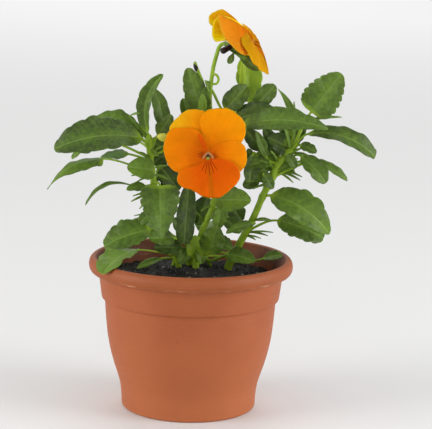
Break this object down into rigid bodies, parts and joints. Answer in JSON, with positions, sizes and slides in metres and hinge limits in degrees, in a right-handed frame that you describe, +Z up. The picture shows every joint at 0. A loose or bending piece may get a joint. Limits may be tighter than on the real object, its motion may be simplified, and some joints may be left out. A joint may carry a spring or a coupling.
{
  "type": "potted pansy planter",
  "caption": "Flowering pansy with toothed leaves and yellow-orange blooms, growing in soil in a round tapered terracotta-coloured plastic pot with a rolled rim.",
  "frame": {"origin": "centre of the pot's flat base, on the surface it stands on", "axes": "+Z up; -Y towards the side that the front bloom faces; +X to the right as seen from that side"},
  "size_m": [0.1892, 0.12, 0.2338],
  "materials": {
    "pot_plastic": "satin",
    "soil": "matte",
    "leaves": "satin",
    "petals": "matte",
    "bud": "satin"
  },
  "bodies": {
    "root": {"pot": "pot_plastic", "potting_soil": "soil", "left_leafy_stem": "leaves", "centre_leafy_stem": "leaves", "right_leafy_stem": "leaves", "crown_leafy_stem": "leaves", "front_bloom_petals": "petals", "top_bloom_petals": "petals", "left_bud": "bud"}
  },
  "joints": []
}
